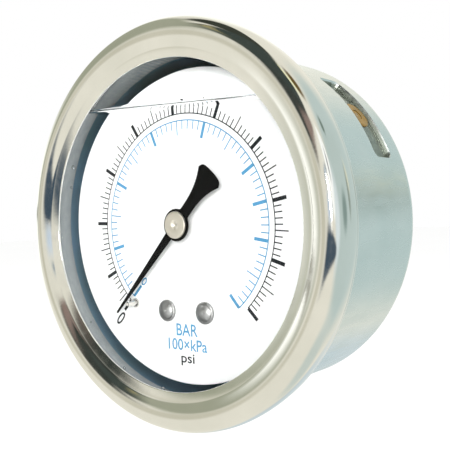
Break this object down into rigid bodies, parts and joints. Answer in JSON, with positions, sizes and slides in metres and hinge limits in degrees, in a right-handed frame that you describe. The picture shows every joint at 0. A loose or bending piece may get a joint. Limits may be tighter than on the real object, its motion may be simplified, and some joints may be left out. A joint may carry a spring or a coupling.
{
  "type": "pressure gauge",
  "caption": "Liquid-filled Bourdon-tube pressure gauge with a round dial, rolled bezel, drawn steel case and a threaded stem at the centre of the back.",
  "frame": {"origin": "centre of the end face of the threaded stem", "axes": "+Y along the stem, out of the back; +Z towards 12 o'clock on the dial; +X to the right as seen from the front"},
  "size_m": [0.068, 0.0566, 0.068],
  "materials": {
    "stainless": "satin drawn stainless steel",
    "polished_steel": "polished stainless steel",
    "window_clear": "clear polished",
    "grey_rubber": "matt",
    "amber_rubber": "matt, translucent look",
    "dial_white": "matt white",
    "pointer_black": "matt black",
    "nickel": "nickel plated",
    "steel": "plain steel",
    "brass": "machined brass",
    "bronze": "phosphor bronze"
  },
  "bodies": {
    "gauge": {"case": "stainless", "bezel": "polished_steel", "window": "window_clear", "window_gasket": "grey_rubber", "dial": "dial_white", "dial_screws": "nickel", "stop_pin": "nickel", "hairspring": "bronze", "hairspring_stud": "brass", "movement_front_plate": "brass", "movement_back_plate": "brass", "movement_pillars": "brass", "pillar_screws": "steel", "movement_screws": "steel", "bourdon_tube": "bronze", "socket": "brass", "throttle_screw": "brass", "stem_seal": "grey_rubber", "back_screws": "steel", "back_screw_seals": "grey_rubber"},
    "pointer": {"pointer": "pointer_black", "pointer_hub": "nickel", "pinion_shaft": "steel", "hairspring_collet": "brass"},
    "sector": {"sector_gear": "brass", "sector_arbor": "steel", "sector_link_pin": "steel"},
    "tip": {"tube_tip": "brass", "tip_link_pin": "steel"},
    "link": {"link": "brass"},
    "plug": {"relief_plug": "amber_rubber"}
  },
  "joints": [
    {"name": "pointer_turn", "type": "hinge", "parent": "gauge", "child": "pointer", "pos_m": [0, -0.0397, 0], "axis": [0, 1, 0], "range_deg": [0, 270], "deforming": ["hairspring"]},
    {"name": "sector_swing", "type": "hinge", "parent": "gauge", "child": "sector", "pos_m": [0.01068, -0.0403, 0.00776], "axis": [0, 1, 0], "range_deg": [-27, 0]},
    {"name": "tip_flex", "type": "hinge", "parent": "gauge", "child": "tip", "pos_m": [-0.00388, -0.0327, 0.00515], "axis": [0, 1, 0], "range_deg": [-6, 0], "deforming": ["bourdon_tube"]},
    {"name": "link_swing", "type": "hinge", "parent": "tip", "child": "link", "pos_m": [0.0197, -0.0393, -0.005], "axis": [0, 1, 0], "range_deg": [-1.97, 0]},
    {"name": "plug_slide", "type": "slide", "parent": "gauge", "child": "plug", "axis": [0.8141, 0, 0.5807], "range_m": [0, 0.004]}
  ],
  "couplings": [
    {"joint": "sector_swing", "follows": "pointer_turn", "ratio": -0.1},
    {"joint": "tip_flex", "follows": "pointer_turn", "ratio": -0.022222},
    {"joint": "link_swing", "follows": "pointer_turn", "ratio": -0.007281}
  ]
}
